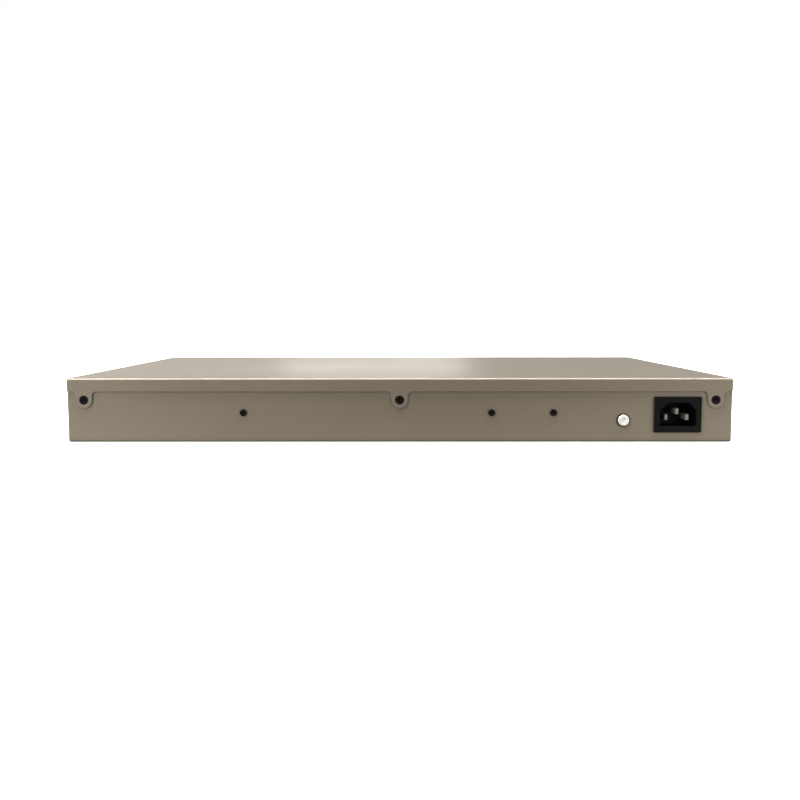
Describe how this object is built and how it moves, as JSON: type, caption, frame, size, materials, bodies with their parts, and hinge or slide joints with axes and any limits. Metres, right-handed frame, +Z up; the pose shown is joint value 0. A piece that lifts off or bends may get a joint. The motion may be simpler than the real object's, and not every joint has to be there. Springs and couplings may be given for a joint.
{
  "type": "rackmount network switch",
  "caption": "Flat steel rack unit with rows of network sockets in front and a mains inlet, earth screw and lapped cover at the back.",
  "frame": {"origin": "middle of the footprint, on the underside", "axes": "+Z up, +X to the right when facing the sockets, sockets face -Y, mains inlet faces +Y"},
  "size_m": [0.4417, 0.2867, 0.0425],
  "materials": {
    "enclosure_paint": "satin metallic powder coat",
    "front_film": "fine matte film",
    "black_screw": "black oxide",
    "zinc_steel": "zinc plated",
    "nickel": "nickel plated",
    "blade": "dull tin plated",
    "inlet_plastic": "moulded, fine grain",
    "ac_insulation": "wire insulation",
    "earth_insulation": "wire insulation and plated lug",
    "board_green": "solder mask",
    "insulator_film": "polyester film",
    "ferrite": "sintered ferrite",
    "winding_tape": "polyester tape",
    "can_sleeve": "shrink sleeve",
    "heatsink": "anodised extrusion",
    "package_black": "moulded epoxy",
    "copper": "enamelled copper",
    "fuse_glass": "clear",
    "film_box": "moulded box",
    "nylon": "natural nylon",
    "dc_insulation": "wire insulation",
    "fan_insulation": "wire insulation",
    "jack_plastic": "moulded",
    "tin_shield": "tinned sheet",
    "gold_contact": "gold flash",
    "connector_black": "moulded",
    "led_lens": "diffused lens",
    "control_plastic": "moulded",
    "fan_plastic": "glass-filled",
    "fan_metal": "laminated core with windings"
  },
  "bodies": {
    "chassis": {"base_tray": "enclosure_paint", "top_cover": "enclosure_paint", "front_panel": "enclosure_paint", "front_overlay": "front_film", "cover_screws": "black_screw", "bracket_screws": "black_screw", "front_panel_screws": "black_screw", "fan_screws": "black_screw", "ground_washer": "black_screw", "clinch_nuts": "zinc_steel", "ground_nut": "zinc_steel", "rear_brackets": "zinc_steel", "board_standoffs": "zinc_steel", "board_screws": "zinc_steel", "ground_screw": "nickel", "inlet_pins": "blade", "inlet_housing": "inlet_plastic", "ac_leads": "ac_insulation", "earth_lead": "earth_insulation", "main_board": "board_green", "psu_board": "board_green", "psu_insulator": "insulator_film", "psu_transformer_core": "ferrite", "psu_transformer_winding": "winding_tape", "psu_capacitors": "can_sleeve", "board_capacitors": "can_sleeve", "psu_heatsinks": "heatsink", "switch_heatsink": "heatsink", "psu_transistors": "package_black", "switch_chip": "package_black", "board_chips": "package_black", "magnetics": "package_black", "power_inductors": "package_black", "psu_choke": "copper", "psu_fuse": "fuse_glass", "psu_film_capacitors": "film_box", "psu_terminal_block": "nylon", "dc_connectors": "nylon", "fan_headers": "nylon", "dc_harness": "dc_insulation", "fan_leads": "fan_insulation", "left_jack_housing": "jack_plastic", "right_jack_housing": "jack_plastic", "uplink_jack_housing": "jack_plastic", "left_jack_shield": "tin_shield", "right_jack_shield": "tin_shield", "uplink_jack_shield": "tin_shield", "sfp_cages": "tin_shield", "jack_contacts": "gold_contact", "sfp_connectors": "connector_black", "reset_switch": "connector_black", "mode_switch": "connector_black", "led_holders": "connector_black", "leds": "led_lens", "fan_frames": "fan_plastic", "fan_cores": "fan_metal"},
    "front_fan": {"front_fan_rotor": "fan_plastic"},
    "rear_fan": {"rear_fan_rotor": "fan_plastic"},
    "reset": {"reset_button": "control_plastic"},
    "slider": {"mode_slider": "control_plastic"}
  },
  "joints": [
    {"name": "front_fan_spin", "type": "hinge", "parent": "chassis", "child": "front_fan", "pos_m": [0.2077, 0.044, 0.0212], "axis": [1, 0, 0], "continuous": true},
    {"name": "rear_fan_spin", "type": "hinge", "parent": "chassis", "child": "rear_fan", "pos_m": [0.2077, 0.092, 0.0212], "axis": [1, 0, 0], "continuous": true},
    {"name": "reset_press", "type": "slide", "parent": "chassis", "child": "reset", "axis": [0, 1, 0], "range_m": [0, 0.0006], "stiffness_N_per_m": 1500, "springref_m": -0.0004},
    {"name": "mode_slide", "type": "slide", "parent": "chassis", "child": "slider", "axis": [1, 0, 0], "range_m": [0, 0.004]}
  ]
}
